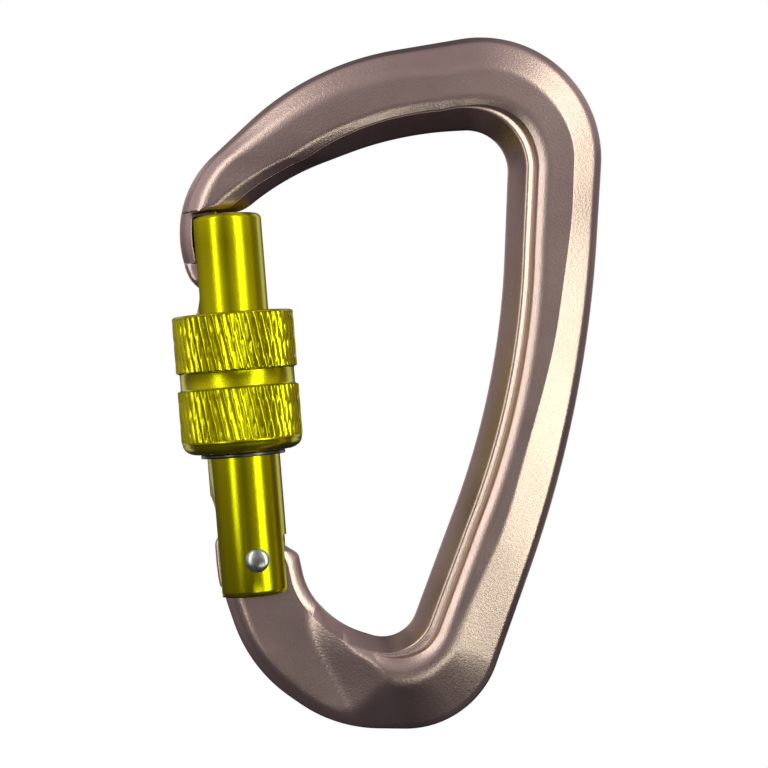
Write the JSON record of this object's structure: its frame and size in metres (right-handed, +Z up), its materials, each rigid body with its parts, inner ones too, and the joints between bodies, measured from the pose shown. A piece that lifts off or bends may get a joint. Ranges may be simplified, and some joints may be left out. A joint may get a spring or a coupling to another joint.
{
  "type": "locking carabiner",
  "caption": "Screw-lock carabiner: D-shaped anodised body with a keylock nose, inward-opening round gate and a knurled locking sleeve.",
  "frame": {"origin": "the bearing point of a sling or rope at the top of the inside, on the middle plane", "axes": "+Z up along the closed gate, +X across from the gate to the spine, +Y through the thickness, away from the side that faces the camera"},
  "size_m": [0.063, 0.0174, 0.0974],
  "materials": {
    "body_anodised": "bead-blasted and anodised dusty rose-brown, satin",
    "gate_anodised": "turned and anodised yellow-green, glossy",
    "sleeve_anodised": "knurled and anodised yellow-green",
    "dark_steel": "dark steel snap ring",
    "polished_steel": "polished stainless rivet",
    "spring_steel": "drawn spring wire",
    "brass_plunger": "turned brass"
  },
  "bodies": {
    "frame": {"frame": "body_anodised"},
    "gate": {"gate_barrel": "gate_anodised", "hinge_pin": "polished_steel"},
    "stop_ring": {"stop_ring": "dark_steel"},
    "sleeve": {"locking_sleeve": "sleeve_anodised"},
    "plunger": {"plunger": "brass_plunger", "return_spring": "spring_steel"}
  },
  "joints": [
    {"name": "gate_hinge", "type": "hinge", "parent": "frame", "child": "gate", "pos_m": [-0.0312, 0, -0.0586], "axis": [0, 1, 0], "range_deg": [0, 26], "stiffness_Nm_per_rad": 0.25, "springref_deg": -34.38},
    {"name": "sleeve_turn", "type": "hinge", "parent": "gate", "child": "stop_ring", "pos_m": [-0.0323, 0, -0.0586], "axis": [0, 0, 1], "range_deg": [0, 1440]},
    {"name": "sleeve_rise", "type": "slide", "parent": "stop_ring", "child": "sleeve", "axis": [0, 0, 1], "range_m": [0, 0.0072]},
    {"name": "plunger_slide", "type": "slide", "parent": "gate", "child": "plunger", "axis": [0, 0, 1], "range_m": [0, 0.00095], "deforming": ["return_spring"]}
  ],
  "couplings": [
    {"joint": "sleeve_turn", "follows": "sleeve_rise", "rad_per_m": 3490.7},
    {"joint": "plunger_slide", "follows": "gate_hinge", "m_per_rad": 0.00209}
  ]
}
